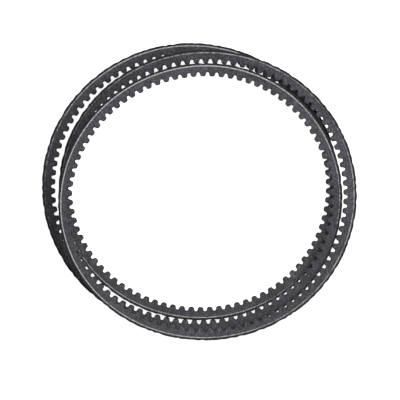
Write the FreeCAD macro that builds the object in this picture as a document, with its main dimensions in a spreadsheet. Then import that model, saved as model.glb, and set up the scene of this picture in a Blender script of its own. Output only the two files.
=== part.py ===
"""A raw-edge cogged V-belt of B section, closed on itself and coiled flat into three turns.

The belt is a stack of bonded layers. From the back inwards: a fabric ply, the overcord rubber, the upper
cushion, a row of tension cords, the lower cushion, the compression rubber with its moulded cogs, and the
fabric that faces the cogs. The two outermost cords are cut through by the raw side walls.

Every layer is drawn as a sketch of the belt's cross-section, bound to the sheet named Dims, and is then
carried along the cord line: the closed curve that the middle of the cord row follows. The belt's width
stays upright along that curve. A sketch's X axis is the depth below the belt's back and its Y axis is the
height.

Frame, in millimetres: +Z up, the coil rests on Z = 0, and the origin is below the middle of its outline.
"""

import FreeCAD
import Part
import math
import os
import Sketcher
from FreeCAD import Placement, Rotation, Vector

PARTS_FOLDER = "parts"
UP = Vector(0, 0, 1)
TURNS = 3

# Driving dimensions: alias, value, meaning. Lengths are in millimetres and angles in degrees.
DIMENSIONS = [
    ("inside_length", 2209.8, "length of the belt's inside face when it runs as one loop, 87 inches"),
    ("top_width", 17, "width of the back"),
    ("thickness", 11, "back to cog tip"),
    ("wedge_angle", 40, "angle between the side walls"),
    ("fabric_ply", 0.6, "thickness of the back fabric"),
    ("overcord", 0.9, "thickness of the overcord rubber"),
    ("upper_cushion", 0.7, "cushion above the cord row's middle"),
    ("lower_cushion", 1.0, "cushion below the cord row's middle"),
    ("cord_diameter", 1.1, "diameter of a tension cord"),
    ("cord_pitch", 1.5, "spacing of the cords across the belt"),
    ("cord_count", 11, "cords side by side, an odd number"),
    ("cog_count", 270, "cogs round the whole belt"),
    ("web", 7.4, "back to the root of a notch"),
    ("facing", 0.5, "thickness of the fabric that faces the cogs"),
    ("root_radius", 1.4, "radius of a notch's root"),
    ("tip_radius", 2.0, "radius of a cog's corners"),
    ("flank_angle", 13, "lean of a cog's flank"),
]

# How the belt lies in its coil: (number, size, start angle) of the waves that its radius and its height
# follow. Wave number k repeats k times in the three turns. Sway is a percentage of the mean radius and
# lift is in millimetres.
SWAY_WAVES = [
    (1, 0.3, 48),
    (2, 7.87, 128),
    (3, 0.24, 149),
    (4, 1.84, -21),
    (5, 0.79, -1),
    (6, 2.43, 0),
    (7, 0.41, -163),
    (8, 0.25, 130),
    (9, 0.29, 137),
]
LIFT_WAVES = [
    (1, 16.35, -69),
    (2, 2.13, 140),
    (3, 1.48, 16),
    (4, 0.95, 180),
    (5, 1.53, -164),
]

# How finely the shapes are made
SPINE_STATIONS = 108
LENGTH_PASSES = 3
PIPE_TOLERANCE = 0.001
PIPE_ANGLE_TOLERANCE = 0.01
CORD_SIDES = 8

# Depths below the back, as expressions on the sheet.
BACK = "0"
PLY_DEPTH = "Dims.fabric_ply"
OVERCORD_DEPTH = "Dims.fabric_ply + Dims.overcord"
CORD_DEPTH = "Dims.fabric_ply + Dims.overcord + Dims.upper_cushion"
CUSHION_DEPTH = CORD_DEPTH + " + Dims.lower_cushion"
CORD_LENGTH = f"Dims.inside_length + 2 * pi * (Dims.thickness - ({CORD_DEPTH}))"
COG_PITCH = f"({CORD_LENGTH}) / Dims.cog_count"

doc = FreeCAD.newDocument("cogged_v_belt")


def add_sheet():
    """The sheet of driving dimensions, one alias a row."""
    made = doc.addObject("Spreadsheet::Sheet", "Dims")
    rows = list(DIMENSIONS)
    for name, waves, what in (("sway", SWAY_WAVES, "% of the mean radius"), ("lift", LIFT_WAVES, "mm")):
        for number, size, phase in waves:
            rows.append((f"{name}_size_{number}", size, f"{name} wave {number}, {what}"))
            rows.append((f"{name}_phase_{number}", phase, f"{name} wave {number}, start angle"))
    for row, (alias, value, meaning) in enumerate(rows, start=1):
        made.set(f"A{row}", meaning)
        made.set(f"B{row}", str(value))
        made.setAlias(f"B{row}", alias)
    doc.recompute()
    return made


sheet = add_sheet()


def dim(alias):
    return float(getattr(sheet, alias))


def value_of(expression):
    """The number that an expression on the sheet comes to."""
    found = sheet.evalExpression(expression)
    return float(getattr(found, "Value", found))


def half_width(depth):
    """Half of the belt's width at a depth below its back, for a number or for an expression."""
    if isinstance(depth, str):
        return f"Dims.top_width / 2 - ({depth}) * tan(Dims.wedge_angle / 2 * 1 deg)"
    return dim("top_width") / 2 - depth * math.tan(math.radians(dim("wedge_angle") / 2))


cord_depth = value_of(CORD_DEPTH)
cog_pitch = value_of(COG_PITCH)


# The cord line


def wave_sum(kind, waves, angle):
    """The sum of a set of waves at an angle counted over all three turns."""
    total = 0.0
    for number, _, _ in waves:
        phase = math.radians(dim(f"{kind}_phase_{number}"))
        total += dim(f"{kind}_size_{number}") * math.cos(number * angle / TURNS + phase)
    return total


def spine_points(mean_radius):
    """Stations of the cord line, equally spaced in angle, centred on the Z axis and resting on Z = 0."""
    points = []
    for i in range(SPINE_STATIONS):
        angle = 2 * math.pi * TURNS * i / SPINE_STATIONS
        radius = mean_radius * (1 + wave_sum("sway", SWAY_WAVES, angle) / 100)
        lift = wave_sum("lift", LIFT_WAVES, angle)
        points.append(Vector(radius * math.cos(angle), radius * math.sin(angle), lift))
    return points


def spine_edge(mean_radius):
    """The cord line as one closed edge."""
    curve = Part.BSplineCurve()
    curve.interpolate(Points=spine_points(mean_radius), PeriodicFlag=True)
    edge = curve.toShape()
    box = edge.optimalBoundingBox(False, False)
    edge.translate(Vector(-box.Center.x, -box.Center.y, dim("top_width") / 2 - box.ZMin))
    return edge


def fitted_spine():
    """The cord line at the mean radius that gives it the cord's own length."""
    wanted = value_of(CORD_LENGTH)
    radius = wanted / (2 * math.pi * TURNS)
    for _ in range(LENGTH_PASSES):
        radius *= wanted / spine_edge(radius).Length
    return spine_edge(radius)


cord_line = doc.addObject("Part::Feature", "cord_line")
cord_line.Shape = Part.Wire([fitted_spine()])
spine = cord_line.Shape.Edges[0]


def frame_at(parameter):
    """(point, inward direction) of the cord line. The inward direction is level and square to the belt."""
    tangent = spine.tangentAt(parameter)
    inward = Vector(-tangent.y, tangent.x, 0)
    return spine.valueAt(parameter), inward.normalize()


def section_placement():
    """Puts a sketch on the upright section where the cord line starts, its origin on the belt's back."""
    point, inward = frame_at(spine.FirstParameter)
    back = point - inward * cord_depth
    along = inward.cross(UP)
    return Placement(back, Rotation(inward, UP, along, "XYZ"))


# Sketches

START, END, CENTRE = 1, 2, 3
ORIGIN = (-1, 1)
X_AXIS, Y_AXIS = -1, -2


def add_sketch(name):
    made = doc.addObject("Sketcher::SketchObject", name)
    made.Placement = section_placement()
    return made


def bind(sketch, kind, *where, to):
    """Adds a constraint of a kind and binds its value to an expression on the sheet."""
    index = sketch.addConstraint(Sketcher.Constraint(kind, *where, value_of(to)))
    sketch.setExpression(f"Constraints[{index}]", to)


def fix_depth(sketch, line, end, depth):
    """Holds an end of a line at a depth below the back."""
    if depth == BACK:
        sketch.addConstraint(Sketcher.Constraint("PointOnObject", line, end, Y_AXIS))
    else:
        bind(sketch, "DistanceX", *ORIGIN, line, end, to=depth)


def layer_sketch(name, outer, inner):
    """A layer of the belt between two depths: a trapezium with its slanting sides on the side walls."""
    sketch = add_sketch(name)
    near, far = value_of(outer), value_of(inner)
    corners = [
        Vector(near, -half_width(near), 0),
        Vector(far, -half_width(far), 0),
        Vector(far, half_width(far), 0),
        Vector(near, half_width(near), 0),
    ]
    count = len(corners)
    for i in range(count):
        sketch.addGeometry(Part.LineSegment(corners[i], corners[(i + 1) % count]))
    for i in range(count):
        sketch.addConstraint(Sketcher.Constraint("Coincident", i, END, (i + 1) % count, START))
    upper_wall = 2
    for end, depth in ((START, inner), (END, outer)):
        fix_depth(sketch, upper_wall, end, depth)
        bind(sketch, "DistanceY", *ORIGIN, upper_wall, end, to=half_width(depth))
    for line in (1, 3):
        sketch.addConstraint(Sketcher.Constraint("Symmetric", line, START, line, END, X_AXIS))
    doc.recompute()
    return sketch


def cord_sketch(name):
    """The row of tension cords as whole circles, the middle one on the belt's centre line."""
    sketch = add_sketch(name)
    count = int(dim("cord_count"))
    middle = count // 2
    radius = dim("cord_diameter") / 2
    for i in range(count):
        centre = Vector(cord_depth, (i - middle) * dim("cord_pitch"), 0)
        sketch.addGeometry(Part.Circle(centre, UP, radius))
    bind(sketch, "Diameter", middle, to="Dims.cord_diameter")
    bind(sketch, "DistanceX", *ORIGIN, middle, CENTRE, to=CORD_DEPTH)
    sketch.addConstraint(Sketcher.Constraint("PointOnObject", middle, CENTRE, X_AXIS))
    for i in range(count - 1):
        sketch.addConstraint(Sketcher.Constraint("Vertical", i, CENTRE, i + 1, CENTRE))
        bind(sketch, "DistanceY", i, CENTRE, i + 1, CENTRE, to="Dims.cord_pitch")
    for i in range(count):
        if i != middle:
            sketch.addConstraint(Sketcher.Constraint("Equal", middle, i))
    doc.recompute()
    return sketch


def cog_sketch(name, inset):
    """One notch between two half cogs. X runs along the belt from the notch and Y is the depth.

    The curve lies inset inside the finished surface, so one call gives each face of the facing fabric.
    """
    sketch = add_sketch(name)
    tip_depth = f"Dims.thickness - {inset}"
    tip_radius = f"Dims.tip_radius - {inset}"
    root_radius = f"Dims.root_radius + {inset}"
    root_centre_depth = "Dims.web + Dims.root_radius"

    lean = math.radians(dim("flank_angle"))
    across, down = math.cos(lean), math.sin(lean)
    half_pitch, tip = cog_pitch / 2, value_of(tip_depth)
    corner, root = value_of(tip_radius), value_of(root_radius)
    root_centre = Vector(0, value_of(root_centre_depth), 0)
    flank_top = root_centre + Vector(root * across, -root * down, 0)
    corner_depth = tip - corner
    corner_shift = (corner + (corner_depth - flank_top.y) * down) / across
    corner_centre = Vector(flank_top.x + corner_shift, corner_depth, 0)
    flank_end = corner_centre + Vector(-corner * across, corner * down, 0)
    tip_edge = Vector(corner_centre.x, tip, 0)

    def mirrored(point):
        return Vector(-point.x, point.y, 0)

    def arc(start, centre, end):
        """The shorter arc round a centre from start to end, passing halfway between their directions."""
        towards = (start - centre) + (end - centre)
        middle = centre + towards.normalize() * (start - centre).Length
        return Part.Arc(start, middle, end)

    root_arc = Part.Arc(mirrored(flank_top), root_centre - Vector(0, root, 0), flank_top)
    shapes = [
        Part.LineSegment(Vector(-half_pitch, tip, 0), mirrored(tip_edge)),
        arc(mirrored(tip_edge), mirrored(corner_centre), mirrored(flank_end)),
        Part.LineSegment(mirrored(flank_end), mirrored(flank_top)),
        root_arc,
        Part.LineSegment(flank_top, flank_end),
        arc(flank_end, corner_centre, tip_edge),
        Part.LineSegment(tip_edge, Vector(half_pitch, tip, 0)),
    ]
    for shape in shapes:
        sketch.addGeometry(shape)
    left_tip, left_corner, left_flank, notch, right_flank, right_corner, right_tip = range(len(shapes))

    meetings = [
        (left_tip, left_corner, mirrored(tip_edge)),
        (left_corner, left_flank, mirrored(flank_end)),
        (left_flank, notch, mirrored(flank_top)),
        (notch, right_flank, flank_top),
        (right_flank, right_corner, flank_end),
        (right_corner, right_tip, tip_edge),
    ]
    for first, second, point in meetings:
        ends = [end_at(sketch, piece, point) for piece in (first, second)]
        sketch.addConstraint(Sketcher.Constraint("Tangent", first, ends[0], second, ends[1]))
    for line in (left_tip, right_tip):
        sketch.addConstraint(Sketcher.Constraint("Horizontal", line))
    sketch.addConstraint(Sketcher.Constraint("Symmetric", left_tip, START, right_tip, END, Y_AXIS))
    sketch.addConstraint(Sketcher.Constraint("Equal", left_corner, right_corner))
    sketch.addConstraint(Sketcher.Constraint("Equal", left_flank, right_flank))
    sketch.addConstraint(Sketcher.Constraint("PointOnObject", notch, CENTRE, Y_AXIS))
    bind(sketch, "DistanceX", *ORIGIN, right_tip, END, to=f"{COG_PITCH} / 2")
    bind(sketch, "DistanceY", *ORIGIN, right_tip, END, to=tip_depth)
    bind(sketch, "DistanceY", *ORIGIN, notch, CENTRE, to=root_centre_depth)
    bind(sketch, "Radius", notch, to=root_radius)
    bind(sketch, "Radius", right_corner, to=tip_radius)
    index = sketch.addConstraint(Sketcher.Constraint("Angle", right_flank, math.pi / 2 - lean))
    sketch.setExpression(f"Constraints[{index}]", "(90 - Dims.flank_angle) * 1 deg")
    doc.recompute()
    return sketch


def end_at(sketch, piece, point):
    """Which end of a piece of a sketch lies at a point."""
    return min((START, END), key=lambda end: (sketch.getPoint(piece, end) - point).Length)


# Sub-parts


def add_part(label, shape):
    """Adds a finished sub-part. Its shape is already in its place on the coil."""
    made = doc.addObject("Part::Feature", label)
    made.Label = label
    made.Shape = shape
    made.Placement = Placement()
    return made


def carried(face):
    """The solid that a cross-section makes when it is carried along the cord line, closed on itself."""
    pipe = Part.BRepOffsetAPI.MakePipeShell(cord_line.Shape)
    pipe.setBiNormalMode(UP)
    pipe.setTolerance(PIPE_TOLERANCE, PIPE_TOLERANCE, PIPE_ANGLE_TOLERANCE)
    pipe.add(face.OuterWire)
    pipe.build()
    pipe.makeSolid()
    return pipe.shape()


def section_face(sketch):
    return Part.Face(Part.Wire(sketch.Shape.Edges))


def cord_sections():
    """The cords' sections, eight-sided so that every face is a plain strip, cut off at the side walls."""
    belt = section_face(layer_sketch("belt_section", BACK, CUSHION_DEPTH))
    sections = []
    for circle in cord_row.Shape.Edges:
        outline = Part.makePolygon(circle.discretize(Number=CORD_SIDES + 1))
        sections.append(Part.Face(outline).common(belt).Faces[0])
    return sections


def wave_pieces(sketch):
    """The pieces of a notch curve, each as two points of a line or three points of an arc.

    The pieces and their points run in order along the belt, with X along it and Y as the depth.
    """
    pieces = []
    for geometry in sketch.Geometry:
        count = 3 if geometry.TypeId == "Part::GeomArcOfCircle" else 2
        pieces.append(sorted(geometry.discretize(Number=count), key=lambda point: point.x))
    return pieces


def pitch_bounds():
    """Parameters of the cord line at the middle of every cog, first and last being the same place."""
    count = int(dim("cog_count"))
    inner = [spine.getParameterByLength(spine.Length * k / count) for k in range(1, count)]
    return [spine.FirstParameter] + inner + [spine.LastParameter]


def wall_edges(start, end, piece):
    """The lower and the upper edge that a piece makes on the side walls.

    Start and end are the parameters at the middles of the cogs on both sides of the notch.
    """
    walls = ([], [])
    for point in piece:
        share = point.x / cog_pitch + 0.5
        middle, inward = frame_at(start + share * (end - start))
        middle += inward * (point.y - cord_depth)
        for wall, side in zip(walls, (-1, 1)):
            wall.append(middle + UP * (side * half_width(point.y)))
    curve = Part.Arc if len(piece) == 3 else Part.LineSegment
    return [curve(*wall).toShape() for wall in walls]


def notched_solid(near, far):
    """The solid between two sets of pieces that repeat at every cog."""
    bounds = pitch_bounds()
    faces = []
    for start, end in zip(bounds, bounds[1:]):
        for near_piece, far_piece in zip(near, far):
            near_lower, near_upper = wall_edges(start, end, near_piece)
            far_lower, far_upper = wall_edges(start, end, far_piece)
            loop = [near_lower, near_upper, far_upper, far_lower]
            for i, edge in enumerate(loop):
                faces.append(Part.makeRuledSurface(edge, loop[i - 1]))
    return Part.makeSolid(Part.makeShell(faces))


cord_row = cord_sketch("cord_row")
cord_faces = cord_sections()


def plain_layer(name, outer, inner):
    """A smooth layer, with room for any cord that it meets."""
    face = section_face(layer_sketch(name + "_section", outer, inner))
    add_part(name, carried(face.cut(cord_faces).Faces[0]))


plain_layer("backing_fabric", BACK, PLY_DEPTH)
plain_layer("overcord_rubber", PLY_DEPTH, OVERCORD_DEPTH)
plain_layer("upper_cushion", OVERCORD_DEPTH, CORD_DEPTH)
plain_layer("lower_cushion", CORD_DEPTH, CUSHION_DEPTH)

for number, cord_face in enumerate(cord_faces, start=1):
    add_part(f"tension_cord_{number:02d}", carried(cord_face))

cog_face = wave_pieces(cog_sketch("cog_section", "0"))
rubber_face = wave_pieces(cog_sketch("rubber_section", "Dims.facing"))
cushion_depth = value_of(CUSHION_DEPTH)
rubber_top = [[Vector(point.x, cushion_depth, 0) for point in piece] for piece in rubber_face]
add_part("compression_rubber", notched_solid(rubber_top, rubber_face))
add_part("cog_facing_fabric", notched_solid(rubber_face, cog_face))


# Checks and files


def export_parts():
    """Writes each sub-part once every object of the document is sound."""
    doc.recompute()
    for made in doc.Objects:
        if {"Invalid", "Error"} & set(made.State):
            raise RuntimeError(f"{made.Label}: {made.State}")
    parts = [made for made in doc.Objects if made.TypeId == "Part::Feature" and made != cord_line]
    for made in parts:
        if made.Shape.isNull() or not made.Shape.isValid() or len(made.Shape.Solids) != 1:
            raise RuntimeError(f"{made.Label}: the shape is not one valid solid")
    os.makedirs(PARTS_FOLDER, exist_ok=True)
    for made in parts:
        made.Shape.exportStep(os.path.join(PARTS_FOLDER, made.Label + ".step"))


export_parts()
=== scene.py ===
"""Looks of a raw-edge cogged V-belt that lies coiled in three turns.

Every piece is built in the belt's own coordinates: the distance along the cord line, the depth below the
back, and the height above the middle of the belt's width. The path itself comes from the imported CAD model.
The belt's lengths are in millimetres until a mesh is made. Meshes and the stage are in metres.
"""

import math

import bpy
import numpy as np
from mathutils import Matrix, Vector
from mathutils.kdtree import KDTree


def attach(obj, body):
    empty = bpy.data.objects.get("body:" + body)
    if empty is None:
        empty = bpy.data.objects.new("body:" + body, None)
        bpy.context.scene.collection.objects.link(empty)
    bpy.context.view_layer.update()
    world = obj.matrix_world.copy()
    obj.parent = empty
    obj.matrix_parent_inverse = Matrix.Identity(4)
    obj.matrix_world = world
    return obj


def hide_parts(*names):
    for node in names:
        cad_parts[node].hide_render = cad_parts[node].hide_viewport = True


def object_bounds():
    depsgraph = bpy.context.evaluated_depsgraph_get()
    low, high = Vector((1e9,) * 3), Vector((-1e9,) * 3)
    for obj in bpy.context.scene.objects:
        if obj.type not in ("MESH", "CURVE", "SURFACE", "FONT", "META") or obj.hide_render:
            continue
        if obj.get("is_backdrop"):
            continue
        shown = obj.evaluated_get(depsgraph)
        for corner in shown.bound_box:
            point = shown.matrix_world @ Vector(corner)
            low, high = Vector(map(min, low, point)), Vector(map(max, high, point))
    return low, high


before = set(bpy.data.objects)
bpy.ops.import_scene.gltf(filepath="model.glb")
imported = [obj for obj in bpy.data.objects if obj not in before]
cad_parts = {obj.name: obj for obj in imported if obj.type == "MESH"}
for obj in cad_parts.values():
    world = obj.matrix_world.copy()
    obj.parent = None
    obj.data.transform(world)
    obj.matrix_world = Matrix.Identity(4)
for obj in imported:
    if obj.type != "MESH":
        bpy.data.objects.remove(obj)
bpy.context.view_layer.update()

MM = 0.001
BODY = "root"

# The belt's section: depths at which each layer ends, from the back
PLY = 0.6
OVERCORD = 1.5
CUSHION = 3.2
THICKNESS = 11.0

WALL_ANGLE = math.radians(20)
CORD_LINE = 2.2
CORD_RADIUS = 0.55
EDGE_CORD_HEIGHT = 7.5

# A notch: the depth that it leaves whole, the fabric's thickness, and its rounded corners
WEB = 7.4
FACING = 0.5
ROOT_RADIUS = 1.4
TIP_RADIUS = 2.0
FLANK_LEAN = math.radians(13)

# How the path is measured, and the angle from which an edge counts as sharp
STATIONS = 4096
SHARP = math.radians(40)


# The belt's own coordinates


def node_mesh(node):
    """(points in millimetres, triangles) of a CAD node, with points in the same place joined."""
    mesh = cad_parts[node].data
    points = np.empty(len(mesh.vertices) * 3, np.float32)
    mesh.vertices.foreach_get("co", points)
    mesh.calc_loop_triangles()
    triangles = np.empty(len(mesh.loop_triangles) * 3, np.int32)
    mesh.loop_triangles.foreach_get("vertices", triangles)
    points = points.reshape(-1, 3).astype(float) / MM
    joined, index = np.unique(points.round(3), axis=0, return_inverse=True)
    return joined, index.ravel()[triangles].reshape(-1, 3)


def sharp_loops(node):
    """The closed lines of sharp edges of a CAD node, each as an array of points in order."""
    points, triangles = node_mesh(node)
    corners = points[triangles]
    normals = np.cross(corners[:, 1] - corners[:, 0], corners[:, 2] - corners[:, 0])
    normals /= np.maximum(np.linalg.norm(normals, axis=1), 1e-12)[:, None]
    faces_at = {}
    for face, (a, b, c) in enumerate(triangles.tolist()):
        for edge in ((a, b), (b, c), (c, a)):
            faces_at.setdefault(frozenset(edge), []).append(face)
    neighbours = {}
    for edge, faces in faces_at.items():
        if len(faces) == 2 and normals[faces[0]] @ normals[faces[1]] < math.cos(SHARP):
            a, b = edge
            neighbours.setdefault(a, []).append(b)
            neighbours.setdefault(b, []).append(a)
    loops = []
    left = set(neighbours)
    while left:
        here = min(left)
        loop = []
        while here in left:
            left.remove(here)
            loop.append(here)
            here = next((n for n in neighbours[here] if n in left), None)
        loops.append(points[loop])
    return loops


def loop_length(points):
    """The length of a closed line of points."""
    return np.linalg.norm(np.roll(points, -1, axis=0) - points, axis=1).sum()


def periodic_spline(points, count):
    """Count points, evenly spaced, on the smooth closed curve through the given points."""
    steps = np.linalg.norm(np.roll(points, -1, axis=0) - points, axis=1)
    before = np.roll(steps, 1)
    size = len(points)
    rows = np.arange(size)
    matrix = np.zeros((size, size))
    matrix[rows, (rows - 1) % size] = steps
    matrix[rows, rows] = 2 * (before + steps)
    matrix[rows, (rows + 1) % size] = before
    rise = (np.roll(points, -1, axis=0) - points) / steps[:, None]
    fall = np.roll(rise, 1, axis=0)
    slopes = np.linalg.solve(matrix, 3 * (steps[:, None] * fall + before[:, None] * rise))
    knots = np.r_[0, np.cumsum(steps)]
    places = np.arange(count) * knots[-1] / count
    span = np.clip(np.searchsorted(knots, places, side="right") - 1, 0, size - 1)
    width = steps[span][:, None]
    share = ((places - knots[span]) / steps[span])[:, None]
    start, end = points[span], points[(span + 1) % size]
    slope_in, slope_out = slopes[span] * width, slopes[(span + 1) % size] * width
    return (
        (1 + 2 * share) * (1 - share) ** 2 * start
        + share * (1 - share) ** 2 * slope_in
        + share**2 * (3 - 2 * share) * end
        + share**2 * (share - 1) * slope_out
    )


class Belt:
    """The path of the belt, measured on the CAD model's back fabric."""

    def __init__(self):
        loops = sorted(sharp_loops("backing_fabric"), key=loop_length)[-2:]
        lower, upper = sorted(loops, key=lambda loop: loop[:, 2].mean())
        self.width = upper[:, 2].mean() - lower[:, 2].mean()
        back = periodic_spline(upper - [0, 0, self.width / 2], STATIONS)
        if self.turning(back) < 0:
            back = back[::-1]
        inward = self.normals(back)
        cord = back + inward * CORD_LINE
        steps = np.linalg.norm(np.roll(cord, -1, axis=0) - cord, axis=1)
        self.length = steps.sum()
        self.marks = np.r_[0, np.cumsum(steps)[:-1]]
        self.back = back
        self.inward = inward
        self.turn = self.turns(cord)

    @staticmethod
    def turning(points):
        """A sum that is above zero where a closed path runs anticlockwise."""
        step = np.roll(points, -1, axis=0) - points
        following = np.roll(step, -1, axis=0)
        return (step[:, 0] * following[:, 1] - step[:, 1] * following[:, 0]).sum()

    @staticmethod
    def normals(points):
        """Level directions, square to the path, that point to the inside of the coil."""
        tangent = np.roll(points, -1, axis=0) - np.roll(points, 1, axis=0)
        normal = np.c_[-tangent[:, 1], tangent[:, 0], np.zeros(len(points))]
        return normal / np.linalg.norm(normal, axis=1)[:, None]

    @staticmethod
    def turns(points):
        """How far round the coil each station is, in turns, counted from the start of the top turn."""
        angle = np.unwrap(np.arctan2(points[:, 1], points[:, 0])) / (2 * math.pi)
        whole = round(angle[-1] - angle[0])
        top = angle[points[:, 2].argmax()]
        return (angle - math.floor(top)) % whole

    def lookup(self, values, along):
        """Values that are known at the stations, at any distance along the belt."""
        return np.interp(along, self.marks, values, period=self.length)

    def place(self, along, depth, height):
        """Points, in metres, at arrays of belt coordinates in millimetres."""
        back = [self.lookup(self.back[:, i], along) for i in range(3)]
        inward = [self.lookup(self.inward[:, i], along) for i in range(2)]
        x = back[0] + inward[0] * depth
        y = back[1] + inward[1] * depth
        return np.stack([x, y, back[2] + height], axis=-1) * MM

    def locate(self, points):
        """Belt coordinates of points in millimetres, as arrays of distance along, depth and height."""
        middle = self.back + self.inward * THICKNESS / 2
        tree = KDTree(len(middle))
        for i, point in enumerate(middle):
            tree.insert(point, i)
        tree.balance()
        near = np.array([tree.find(point)[1] for point in points])
        offset = points - self.back[near]
        tangent = np.c_[self.inward[near][:, 1], -self.inward[near][:, 0]]
        along = self.marks[near] + (offset[:, :2] * tangent).sum(axis=1)
        depth = (offset[:, :2] * self.inward[near][:, :2]).sum(axis=1)
        return along, depth, offset[:, 2]


belt = Belt()


def half_width(depth):
    """Half the belt's width at a depth below the back."""
    return belt.width / 2 - depth * math.tan(WALL_ANGLE)


def find_cogs():
    """(number of cogs, distance along the belt of one cog's middle), measured on the CAD model."""
    points, _ = node_mesh("cog_facing_fabric")
    along, depth, _ = belt.locate(points)
    tips = along[depth > THICKNESS - FACING / 2] % belt.length
    bins = np.histogram(tips, bins=STATIONS, range=(0, belt.length))[0]
    spectrum = np.abs(np.fft.rfft(bins))
    spectrum[0] = 0
    count = int(spectrum[: STATIONS // 8].argmax())
    phase = np.angle(np.exp(2j * math.pi * count * tips / belt.length).mean())
    return count, phase / (2 * math.pi) * belt.length / count


COGS, FIRST_COG = find_cogs()
PITCH = belt.length / COGS


# Making pieces in belt coordinates

# The number of waves in a random line, how much their lengths differ, and the deviations that become 1
WAVES = 32
WAVE_SPREAD = 0.6
DEVIATIONS = 1.5


def wander(along, wavelength, seed):
    """A smooth random value, mostly between -1 and 1, that repeats after one round of the belt."""
    draw = np.random.default_rng(seed)
    middle = belt.length / wavelength
    numbers = np.round(draw.uniform(1 - WAVE_SPREAD, 1 + WAVE_SPREAD, WAVES) * middle)
    phases = draw.uniform(0, 2 * math.pi, WAVES)
    total = sum(np.sin(2 * math.pi * n * along / belt.length + p) for n, p in zip(numbers, phases))
    standard_deviation = math.sqrt(WAVES / 2)
    return total / standard_deviation / DEVIATIONS


def faces_inwards(points, quads):
    """Whether a closed surface of quads has its front on the inside."""
    a, b, c, d = (points[quads[:, i]] for i in range(4))
    return (np.cross(a, b) * c).sum() + (np.cross(a, c) * d).sum() < 0


def next_rows(values, length):
    """The values one row further on, where the last row meets the first again a length on."""
    following = np.roll(values, -1, axis=0)
    following[-1] += length
    return following


def quad_corners(values, length):
    """Values at the four corners of every quad between neighbouring rows and columns."""
    after = next_rows(values, length)
    return np.stack([values, after, np.roll(after, -1, axis=1), np.roll(values, -1, axis=1)], axis=-1)


def quad_mesh(name, points, quads):
    mesh = bpy.data.meshes.new(name)
    mesh.vertices.add(len(points))
    mesh.vertices.foreach_set("co", points.astype(np.float32).ravel())
    mesh.loops.add(quads.size)
    mesh.loops.foreach_set("vertex_index", quads.astype(np.int32).ravel())
    mesh.polygons.add(len(quads))
    mesh.polygons.foreach_set("loop_start", np.arange(0, quads.size, 4, dtype=np.int32))
    mesh.update(calc_edges=True)
    return mesh


def keep_at_corners(mesh, attribute, parts):
    """Keeps three arrays of corner values as one vector attribute."""
    layer = mesh.attributes.new(attribute, "FLOAT_VECTOR", "CORNER")
    layer.data.foreach_set("vector", np.stack(parts, axis=-1).astype(np.float32).ravel())


def skin(name, along, depth, height, material, stands_for, run=None):
    """A closed piece whose sections are the rows of three arrays of belt coordinates.

    Every corner keeps its belt coordinates in the attribute "belt". The attribute "weave" holds the distance
    along the surface in both directions. Both are in millimetres. Run is the distance of each point along a
    surface that goes in and out of the notches.
    """
    points = belt.place(along, depth, height).reshape(-1, 3)
    quads = quad_corners(np.arange(along.size).reshape(along.shape), 0).reshape(-1, 4)
    order = [3, 2, 1, 0] if faces_inwards(points, quads) else [0, 1, 2, 3]
    mesh = quad_mesh(name, points, quads[:, order])

    at_belt = [(along, belt.length), (depth, 0), (height, 0)]
    keep_at_corners(mesh, "belt", [quad_corners(*pair)[..., order] for pair in at_belt])
    step = np.hypot(np.roll(depth, -1, axis=1) - depth, np.roll(height, -1, axis=1) - height)
    across = np.cumsum(step, axis=1) - step
    around = np.stack([across, across, across + step, across + step], axis=-1)[..., order]
    if run is None:
        run, run_length = along, belt.length
    else:
        run_length = run[-1].mean() + (run[1] - run[0]).mean()
    lengthwise = quad_corners(run, run_length)[..., order]
    keep_at_corners(mesh, "weave", [lengthwise, around, np.zeros_like(around)])

    mesh.shade_smooth()
    mesh.set_sharp_from_angle(angle=SHARP)
    piece = bpy.data.objects.new(name, mesh)
    bpy.context.scene.collection.objects.link(piece)
    mesh.materials.append(material)
    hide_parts(*stands_for)
    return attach(piece, BODY)


# Node materials


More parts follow.
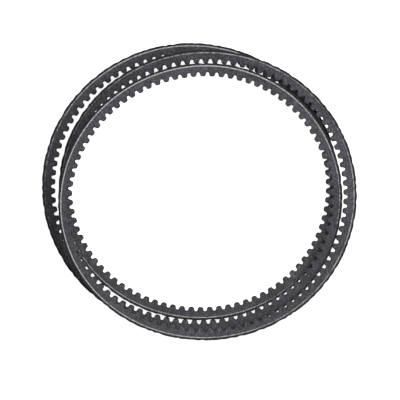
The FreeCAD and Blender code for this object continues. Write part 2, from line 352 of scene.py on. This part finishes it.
class Shader:
    """A node material under construction."""

    def __init__(self, name):
        self.material = bpy.data.materials.new(name)
        self.material.use_nodes = True
        self.nodes = self.material.node_tree.nodes
        self.links = self.material.node_tree.links
        self.surface = self.nodes["Principled BSDF"]

    def node(self, kind, **settings):
        made = self.nodes.new(kind)
        for setting, value in settings.items():
            setattr(made, setting, value)
        return made

    def plug(self, value, socket):
        """Links an output into a socket, or sets the socket's own value."""
        if isinstance(value, bpy.types.NodeSocket):
            self.links.new(value, socket)
        else:
            socket.default_value = value

    def coordinates(self, attribute):
        """(x, y, z) of one of the belt's own attributes, in millimetres."""
        source = self.node("ShaderNodeAttribute", attribute_name=attribute)
        split = self.node("ShaderNodeSeparateXYZ")
        self.plug(source.outputs["Vector"], split.inputs[0])
        return split.outputs

    def vector(self, x, y, z):
        made = self.node("ShaderNodeCombineXYZ")
        for value, socket in zip((x, y, z), made.inputs):
            self.plug(value, socket)
        return made.outputs[0]

    def math(self, operation, *values):
        made = self.node("ShaderNodeMath", operation=operation)
        for value, socket in zip(values, made.inputs):
            self.plug(value, socket)
        return made.outputs[0]

    def noise(self, place, scale, detail=2.0, roughness=0.5):
        made = self.node("ShaderNodeTexNoise")
        self.plug(place, made.inputs["Vector"])
        made.inputs["Scale"].default_value = scale
        made.inputs["Detail"].default_value = detail
        made.inputs["Roughness"].default_value = roughness
        return made.outputs["Fac"]

    def ramp(self, value, low, high, start=0.0, end=1.0, smooth=True):
        """Maps low..high to start..end and holds it outside."""
        made = self.node("ShaderNodeMapRange", interpolation_type="SMOOTHSTEP" if smooth else "LINEAR")
        for given, socket in zip((value, low, high, start, end), made.inputs):
            self.plug(given, socket)
        return made.outputs[0]

    def mix(self, share, first, second):
        made = self.node("ShaderNodeMix", data_type="RGBA")
        self.plug(share, made.inputs["Factor"])
        for colour, socket in ((first, made.inputs[6]), (second, made.inputs[7])):
            self.plug((*colour, 1) if isinstance(colour, tuple) else colour, socket)
        return made.outputs[2]

    def bump(self, height, distance, under=None):
        """Bumps of a height in millimetres."""
        made = self.node("ShaderNodeBump")
        made.inputs["Distance"].default_value = distance * MM
        self.plug(height, made.inputs["Height"])
        if under is not None:
            self.plug(under, made.inputs["Normal"])
        return made.outputs[0]

    def finish(self, colour, roughness, normal, specular=0.5):
        for name, value in (("Base Color", colour), ("Roughness", roughness), ("Normal", normal)):
            self.plug(value, self.surface.inputs[name])
        self.surface.inputs["Specular IOR Level"].default_value = specular
        return self.material


RUBBER_DARK = (0.020, 0.020, 0.024)
RUBBER_MID = (0.060, 0.059, 0.071)
RUBBER_LIGHT = (0.170, 0.170, 0.190)
FIBRE = (0.66, 0.66, 0.68)
FIBRE_SHADE = (0.14, 0.14, 0.145)
# Painted shade in the grooves between the cord's twisted strands
TWIST_GROOVE_SHADE = (0.16, 0.16, 0.165)
BACK_VALLEY, BACK_CROWN = (0.012, 0.012, 0.013), (0.045, 0.044, 0.047)
COG_VALLEY, COG_CROWN = (0.016, 0.016, 0.018), (0.05, 0.049, 0.054)

# Darkening of the overcord band near each strand's outer edge: partly a darker rubber of its own, partly
# painted shade
OVERCORD_SHADE = 0.34
BACK_THREAD = 0.62
COG_THREAD = 0.5


def ground_rubber(name, shade=1.0):
    """Rubber cut by a grinding wheel: ends of chopped fibre, pores, streaks across the wall and mottling."""
    shader = Shader(name)
    along, depth, height = shader.coordinates("belt")
    place = shader.vector(along, depth, height)
    streaked = shader.vector(along, shader.math("MULTIPLY", depth, 0.22), height)
    grain = shader.noise(place, scale=0.7, detail=4.0, roughness=0.75)
    mottle = shader.noise(place, scale=0.16, roughness=0.6)
    slow = shader.noise(place, scale=0.02, roughness=0.6)
    streaks = shader.noise(streaked, scale=0.9, detail=3.0, roughness=0.6)
    specks = shader.ramp(shader.noise(place, scale=3.2, detail=1.0), low=0.62, high=0.72)
    pores = shader.ramp(shader.noise(place, scale=2.4, detail=1.0), low=0.4, high=0.3)
    tone = 0.0
    for layer, weight in ((grain, 1.2), (mottle, 0.35), (slow, 0.25), (streaks, 0.5)):
        centred = shader.math("SUBTRACT", layer, 0.5)
        tone = shader.math("ADD", tone, shader.math("MULTIPLY", centred, weight))
    tones = (RUBBER_DARK, RUBBER_MID, RUBBER_LIGHT)
    # A shade below 1 darkens every tone; for the overcord this is partly painted edge shade
    dark, mid, light = (tuple(channel * shade for channel in colour) for colour in tones)
    colour = shader.mix(shader.ramp(tone, low=-0.24, high=0.02, smooth=False), dark, mid)
    colour = shader.mix(shader.ramp(tone, low=0.02, high=0.28, smooth=False), colour, light)
    colour = shader.mix(shader.math("MULTIPLY", specks, 0.5), colour, light)
    colour = shader.mix(shader.math("MULTIPLY", pores, 0.6), colour, dark)
    normal = shader.bump(grain, 0.12)
    normal = shader.bump(streaks, 0.06, normal)
    normal = shader.bump(pores, -0.05, normal)
    roughness = shader.ramp(grain, low=0.3, high=0.7, start=0.62, end=0.82)
    return shader.finish(colour, roughness, normal, specular=0.35)


def woven(name, thread, valley, crown):
    """Rubberised fabric: threads that cross on the bias, over and under by turns, half filled with rubber."""
    shader = Shader(name)
    run, across, _ = shader.coordinates("weave")
    place = shader.vector(run, across, 0.0)
    drift = shader.math("SUBTRACT", shader.noise(place, scale=0.18), 0.5)
    drift = shader.math("MULTIPLY", drift, 1.2)
    first = shader.math("ADD", shader.math("ADD", run, across), drift)
    second = shader.math("SUBTRACT", shader.math("SUBTRACT", run, across), drift)
    warp = shader.math("SINE", shader.math("MULTIPLY", first, math.pi / thread))
    weft = shader.math("SINE", shader.math("MULTIPLY", second, math.pi / thread))
    over = shader.math("MULTIPLY", warp, weft)
    body = shader.math("POWER", shader.math("ABSOLUTE", over), 0.6)
    side = shader.ramp(over, low=-0.05, high=0.05, start=0.82)
    relief = shader.math("MULTIPLY", body, side)
    fluff = shader.noise(place, scale=3.5, detail=3.0, roughness=0.65)
    rubbing = shader.ramp(shader.noise(place, scale=0.12, detail=3.0), low=0.35, high=0.7)
    rubbed = shader.math("MULTIPLY", relief, rubbing)
    colour = shader.mix(shader.ramp(rubbed, low=0.25, high=0.95), valley, crown)
    colour = shader.mix(shader.ramp(fluff, low=0.62, high=0.78, end=0.4), colour, RUBBER_LIGHT)
    normal = shader.bump(relief, 0.16)
    normal = shader.bump(fluff, 0.05, normal)
    roughness = shader.ramp(relief, low=0.0, high=1.0, start=0.9, end=0.68)
    return shader.finish(colour, roughness, normal, specular=0.4)


def cut_cord(name):
    """The edge pass of cord where the wall is cut: pale frayed yarn with painted shade in its twist grooves,
    smeared over with rubber in places.
    """
    shader = Shader(name)
    along, depth, height = shader.coordinates("belt")
    wear = shader.node("ShaderNodeAttribute", attribute_name="wear").outputs["Fac"]
    twisted = shader.math("ADD", shader.math("MULTIPLY", along, 1.4), shader.math("MULTIPLY", depth, 2.2))
    strands = shader.math("SINE", shader.math("MULTIPLY", twisted, 2.0))
    stretched = shader.vector(shader.math("MULTIPLY", along, 0.5), depth, height)
    fuzz = shader.noise(stretched, scale=2.6, detail=3.0, roughness=0.7)
    lumps = shader.noise(shader.vector(along, 0.0, 0.0), scale=0.4, detail=3.0, roughness=0.75)
    patches = shader.noise(shader.vector(along, 0.0, 5.0), scale=0.3, detail=3.0, roughness=0.7)
    patches = shader.math("MULTIPLY", shader.math("SUBTRACT", patches, 0.5), 1.7)
    shown = shader.ramp(shader.math("ADD", wear, patches), low=0.1, high=0.85)
    tuft = shader.math("ADD", shader.math("MULTIPLY", lumps, 0.75), shader.math("MULTIPLY", fuzz, 0.25))
    pale = shader.mix(shader.ramp(tuft, low=0.3, high=0.62), FIBRE_SHADE, FIBRE)
    # Painted shade: the yarn darkens along the twist grooves that the strand bump cuts
    pale = shader.mix(shader.ramp(strands, low=-1.0, high=1.0, end=0.25), pale, TWIST_GROOVE_SHADE)
    colour = shader.mix(shown, RUBBER_MID, pale)
    normal = shader.bump(strands, 0.05)
    normal = shader.bump(fuzz, 0.06, normal)
    roughness = shader.ramp(fuzz, low=0.3, high=0.7, start=0.7, end=0.9)
    return shader.finish(colour, roughness, normal, specular=0.3)


def plain_gum(name):
    """Adhesion gum, seen only as a hairline on each side of the cord."""
    shader = Shader(name)
    place = shader.node("ShaderNodeTexCoord").outputs["Object"]
    grain = shader.noise(place, scale=900.0, detail=3.0, roughness=0.6)
    colour = shader.mix(shader.ramp(grain, low=0.35, high=0.65), RUBBER_DARK, RUBBER_MID)
    roughness = shader.ramp(grain, low=0.3, high=0.7, start=0.6, end=0.8)
    return shader.finish(colour, roughness, shader.bump(grain, 0.04), specular=0.35)


def inner_yarn(name):
    """The buried passes of cord: twisted polyester yarn."""
    shader = Shader(name)
    place = shader.node("ShaderNodeTexCoord").outputs["Object"]
    grain = shader.noise(place, scale=1400.0, detail=3.0, roughness=0.6)
    colour = shader.mix(shader.ramp(grain, low=0.35, high=0.65), FIBRE_SHADE, FIBRE)
    return shader.finish(colour, 0.75, shader.bump(grain, 0.05), specular=0.3)


SIDE_RUBBER = ground_rubber("side_rubber")
# The overcord is the side rubber darkened: partly its own darker rubber, partly painted shade along the outer
# edge
OVERCORD_RUBBER = ground_rubber("overcord_rubber_tone_and_shade", OVERCORD_SHADE)
BACK_WEAVE = woven("back_weave", BACK_THREAD, BACK_VALLEY, BACK_CROWN)
COG_WEAVE = woven("cog_weave", COG_THREAD, COG_VALLEY, COG_CROWN)
CUT_CORD = cut_cord("cut_cord")
GUM = plain_gum("gum")
YARN = inner_yarn("yarn")


# Pieces

# How much of the edge cord shows through the smear of ground rubber, as (turns round the coil, share)
CORD_WEAR = [
    (0.0, 0.45),
    (0.12, 0.65),
    (0.24, 1.0),
    (0.5, 1.0),
    (0.6, 0.8),
    (0.75, 0.7),
    (0.85, 0.5),
    (1.0, 0.5),
    (1.08, 0.2),
    (1.2, 0.55),
    (1.42, 0.3),
    (1.65, 0.65),
    (1.8, 0.65),
    (1.93, 0.1),
    (2.1, 0.3),
    (2.27, 1.0),
    (2.38, 0.6),
    (2.52, 0.25),
    (2.62, 0.05),
    (2.9, 0.05),
    (3.0, 0.45),
]

# Spacing of the sections along the belt
BACK_STEP = 1.3
OVERCORD_STEP = 3.0
CORD_STEP = 0.9

# The back fabric's edges: their rounding, how proud the cut threads stand there and at the rounding's start
EDGE_ROUND = 0.12
FRAY = 0.09
ROUNDING_FRAY = 0.6
THREAD_SPACING = 1.7

CORD_SIDES = 14
CORD_UNEVENNESS = 0.1
YARN_PROUD = 0.05

# Points on the root's arc, the flank and the cog's corner, over half a notch
ROOT_POINTS = 7
FLANK_POINTS = 5
CORNER_POINTS = 6

# The back's ripple: its greatest depth, how far its crests stand proud, and how far they stray along the belt
BACK_RIPPLE = 0.6
BACK_PROUD = 0.22
RIPPLE_STRAY = 1.8


def even_stations(spacing):
    count = round(belt.length / spacing)
    return np.arange(count) * belt.length / count


def spread(along, profile):
    """Station and section values as full arrays of stations by section points."""
    return np.repeat(along[:, None], len(profile), axis=1), np.repeat(profile[None, :], len(along), axis=0)


def slab_section(near, far, steps):
    """(depths, heights, outer) round a layer's section. Outer is 1 at the upper wall and -1 at the lower."""
    face = np.linspace(-1, 1, steps) * (half_width(near) - EDGE_ROUND)
    depths = np.r_[np.full(steps, near), near + EDGE_ROUND, far, far, near + EDGE_ROUND]
    walls = half_width(depths[steps:]) * [1, 1, -1, -1]
    outer = np.r_[-ROUNDING_FRAY, np.zeros(steps - 2), ROUNDING_FRAY, 1, 1, -1, -1]
    return depths, np.r_[face, walls], outer


def frayed(along, outer, seed):
    """How far cut threads stand proud of the two walls, as a change of height."""
    upper = np.abs(wander(along, THREAD_SPACING, seed)) * FRAY
    lower = np.abs(wander(along, THREAD_SPACING, seed + 1)) * FRAY
    return np.where(outer > 0, upper, lower) * outer


def back_ripple(along):
    """How far the back sinks, most over every cog, and more in some places than in others."""
    strength = BACK_RIPPLE * np.clip(0.6 + 0.6 * wander(along, wavelength=24, seed=11), 0.1, 1)
    shifted = along - FIRST_COG + RIPPLE_STRAY * wander(along, wavelength=30, seed=12)
    return strength * (0.5 + 0.5 * np.cos(2 * math.pi * shifted / PITCH)) - BACK_PROUD


def back_fabric():
    """The fabric ply on the back, with its cut threads at both edges."""
    stations = even_stations(BACK_STEP)
    depths, heights, outer = slab_section(0.0, PLY, steps=9)
    along, depth = spread(stations, depths)
    _, height = spread(stations, heights)
    _, outer = spread(stations, outer)
    depth = np.where(depth < PLY, depth + back_ripple(along), depth)
    height = height + frayed(along, outer, seed=21)
    return skin("back_fabric", along, depth, height, BACK_WEAVE, ["backing_fabric"])


def overcord():
    """The band of rubber between the back's fabric and the cord."""
    stations = even_stations(OVERCORD_STEP)
    depths, heights, _ = slab_section(PLY, OVERCORD, steps=3)
    along, depth = spread(stations, depths)
    _, height = spread(stations, heights)
    return skin("overcord", along, depth, height, OVERCORD_RUBBER, ["overcord_rubber"])


def edge_cord(name, side, node, seed):
    """An outermost pass of cord, cut flush with its wall apart from its frayed yarn."""
    stations = even_stations(CORD_STEP)
    angles = np.arange(CORD_SIDES) * 2 * math.pi / CORD_SIDES
    along, angle = spread(stations, angles)
    radius = CORD_RADIUS * (1 + CORD_UNEVENNESS * wander(along, wavelength=3.1, seed=seed))
    depth = CORD_LINE + radius * np.cos(angle) + 0.05 * wander(along, wavelength=9.0, seed=seed + 1)
    proud = YARN_PROUD + 0.03 * wander(along + depth * 1.5, wavelength=1.6, seed=seed + 2)
    height = np.minimum(EDGE_CORD_HEIGHT + radius * np.sin(angle), half_width(depth) + proud)
    piece = skin(name, along, depth, side * height, CUT_CORD, [node])
    wear = piece.data.attributes.new("wear", "FLOAT", "POINT")
    turns, shares = zip(*CORD_WEAR)
    shown = np.interp(belt.lookup(belt.turn, along), turns, shares)
    wear.data.foreach_set("value", shown.astype(np.float32).ravel())
    return piece


def notch_curve(inset):
    """(distance from the notch's middle, depth) over one pitch, lying inset inside the finished surface."""
    root, corner, tip = ROOT_RADIUS + inset, TIP_RADIUS - inset, THICKNESS - inset
    across, down = math.cos(FLANK_LEAN), math.sin(FLANK_LEAN)
    root_centre = WEB + ROOT_RADIUS
    flank_top = np.array([root * across, root_centre - root * down])
    corner_depth = tip - corner
    centre = flank_top[0] + (corner + (corner_depth - flank_top[1]) * down) / across
    sweep = math.pi / 2 - FLANK_LEAN
    turn = np.linspace(0, sweep, ROOT_POINTS)
    root_arc = np.c_[root * np.sin(turn), root_centre - root * np.cos(turn)]
    flank_end = np.array([centre - corner * across, corner_depth + corner * down])
    flank = flank_top + np.linspace(0, 1, FLANK_POINTS)[1:-1, None] * (flank_end - flank_top)
    turn = np.linspace(sweep, 0, CORNER_POINTS)
    corner_arc = np.c_[centre - corner * np.sin(turn), corner_depth + corner * np.cos(turn)]
    flat = np.c_[centre + (PITCH / 2 - centre) * np.array([0.5, 1.0]), [tip, tip]]
    right = np.r_[root_arc, flank, corner_arc, flat]
    left = right[:0:-1] * [-1, 1]
    return np.r_[left, right][:-1]


def all_notches(curve):
    """(distance along, depth) of a notch curve repeated round the whole belt."""
    middles = FIRST_COG + (np.arange(COGS) + 0.5) * PITCH
    along = middles[:, None] + curve[None, :, 0]
    return along.ravel(), np.tile(curve[:, 1], COGS)


def moulded(along, depth):
    """The small unevenness of moulded cogs, growing from the web to the tip."""
    share = np.clip((depth - WEB + FACING) / (THICKNESS - WEB), 0, 1)
    slow = 0.05 * wander(along, wavelength=60, seed=31)
    quick = 0.04 * wander(along, wavelength=13, seed=32)
    return depth + share * (slow + quick)


def notched_rubber():
    """The compression rubber: each section crosses at the cushion, follows a wall, crosses and returns."""
    far_along, far_depth = all_notches(notch_curve(FACING))
    far_depth = moulded(far_along, far_depth)
    shares = np.array([0, 0, 0.25, 0.5, 0.75, 1, 1, 0.75, 0.5, 0.25])
    sides = np.array([-1, 1, 1, 1, 1, 1, -1, -1, -1, -1])
    along = np.repeat(far_along[:, None], len(shares), axis=1)
    depth = CUSHION + (far_depth[:, None] - CUSHION) * shares
    height = sides * half_width(depth)
    return skin("cogged_rubber", along, depth, height, SIDE_RUBBER, ["compression_rubber"])


def cog_facing():
    """The fabric over the cogs: a face with its edges, then the side that is bonded to the rubber."""
    near_along, near_depth = all_notches(notch_curve(FACING))
    far_along, far_depth = all_notches(notch_curve(0.0))
    near_depth, far_depth = moulded(near_along, near_depth), moulded(near_along, far_depth)
    face = np.array([-1, -0.975, -0.5, 0, 0.5, 0.975, 1])
    bonded = np.array([1, -1])
    along = np.stack([far_along] * len(face) + [near_along] * len(bonded), axis=1)
    depth = np.stack([far_depth] * len(face) + [near_depth] * len(bonded), axis=1)
    shares = np.r_[face, bonded]
    _, outer = spread(far_along, np.where(np.abs(shares) == 1, shares, 0))
    height = shares * half_width(depth) + frayed(along, outer, seed=41)
    forward = np.diff(far_along, append=far_along[0] + belt.length)
    inward = np.diff(far_depth, append=far_depth[0])
    steps = np.hypot(forward, inward)
    run, _ = spread(np.cumsum(steps) - steps, shares)
    return skin("cog_facing", along, depth, height, COG_WEAVE, ["cog_facing_fabric"], run)


def finish_cad_nodes():
    """The buried layers keep their CAD shape."""
    for name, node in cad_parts.items():
        if node.hide_render:
            continue
        node.data.materials.clear()
        node.data.materials.append(YARN if name.startswith("tension_cord") else GUM)


# Stage

EYE_HEIGHT = 4.0
VIEW_WIDTH = 0.3402
VIEW_CENTRE = (0.0009, -0.0076)
SENSOR_WIDTH_MM = 36
FLOOR_REACH = 3
FLOOR_GLOW = 0.85
BACKDROP = 0.95
SKY = 0.27
# Soft lamps, as (place, side of the square, watts)
KEY_LAMP = ((0.14, 0.22, 0.34), 0.4, 1.75)
FILL_LAMP = ((-0.57, -1.23, 1.73), 0.9, 6)


def floor():
    """A pale floor that glows, so that no shadow on it is dark."""
    corners = [(x * FLOOR_REACH, y * FLOOR_REACH, 0) for x, y in ((-1, -1), (1, -1), (1, 1), (-1, 1))]
    mesh = bpy.data.meshes.new("floor")
    mesh.from_pydata(corners, [], [(0, 1, 2, 3)])
    plane = bpy.data.objects.new("floor", mesh)
    bpy.context.scene.collection.objects.link(plane)
    shader = Shader("pale_floor")
    shader.surface.inputs["Emission Color"].default_value = (1, 1, 1, 1)
    shader.surface.inputs["Emission Strength"].default_value = FLOOR_GLOW
    grain = shader.noise(shader.node("ShaderNodeTexCoord").outputs["Object"], scale=40.0)
    colour = shader.mix(grain, (0.90, 0.90, 0.90), (0.93, 0.93, 0.93))
    mesh.materials.append(shader.finish(colour, 0.9, shader.bump(grain, 0.02), specular=0.1))
    plane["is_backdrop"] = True


def studio():
    """Even surroundings that look pale to the camera and light the belt only a little."""
    world = bpy.data.worlds.new("studio")
    world.use_nodes = True
    nodes, links = world.node_tree.nodes, world.node_tree.links
    strength = nodes.new("ShaderNodeMapRange")
    strength.inputs["To Min"].default_value = SKY
    strength.inputs["To Max"].default_value = BACKDROP
    links.new(nodes.new("ShaderNodeLightPath").outputs["Is Camera Ray"], strength.inputs["Value"])
    links.new(strength.outputs[0], nodes["Background"].inputs["Strength"])
    nodes["Background"].inputs["Color"].default_value = (1, 1, 1, 1)
    bpy.context.scene.world = world
    bpy.context.scene.view_settings.view_transform = "Standard"


def softbox(name, place, size, power):
    """A square lamp that faces the middle of the coil."""
    light = bpy.data.lights.new(name, "AREA")
    light.shape = "SQUARE"
    light.size = size
    light.energy = power
    lamp = bpy.data.objects.new(name, light)
    lamp.location = place
    lamp.rotation_euler = Vector(place).to_track_quat("Z", "Y").to_euler()
    bpy.context.scene.collection.objects.link(lamp)


def camera():
    """A camera straight above the coil that sees VIEW_WIDTH at the height of the belt's top."""
    _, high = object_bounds()
    data = bpy.data.cameras.new("camera")
    data.sensor_width = SENSOR_WIDTH_MM
    data.lens = SENSOR_WIDTH_MM * (EYE_HEIGHT - high.z) / VIEW_WIDTH
    eye = bpy.data.objects.new("camera", data)
    eye.location = (*VIEW_CENTRE, EYE_HEIGHT)
    bpy.context.scene.collection.objects.link(eye)
    bpy.context.scene.camera = eye


back_fabric()
overcord()
edge_cord("edge_cord_lower", -1, "tension_cord_01", seed=51)
edge_cord("edge_cord_upper", 1, "tension_cord_11", seed=61)
notched_rubber()
cog_facing()
finish_cad_nodes()
floor()
studio()
softbox("key_lamp", *KEY_LAMP)
softbox("fill_lamp", *FILL_LAMP)
camera()
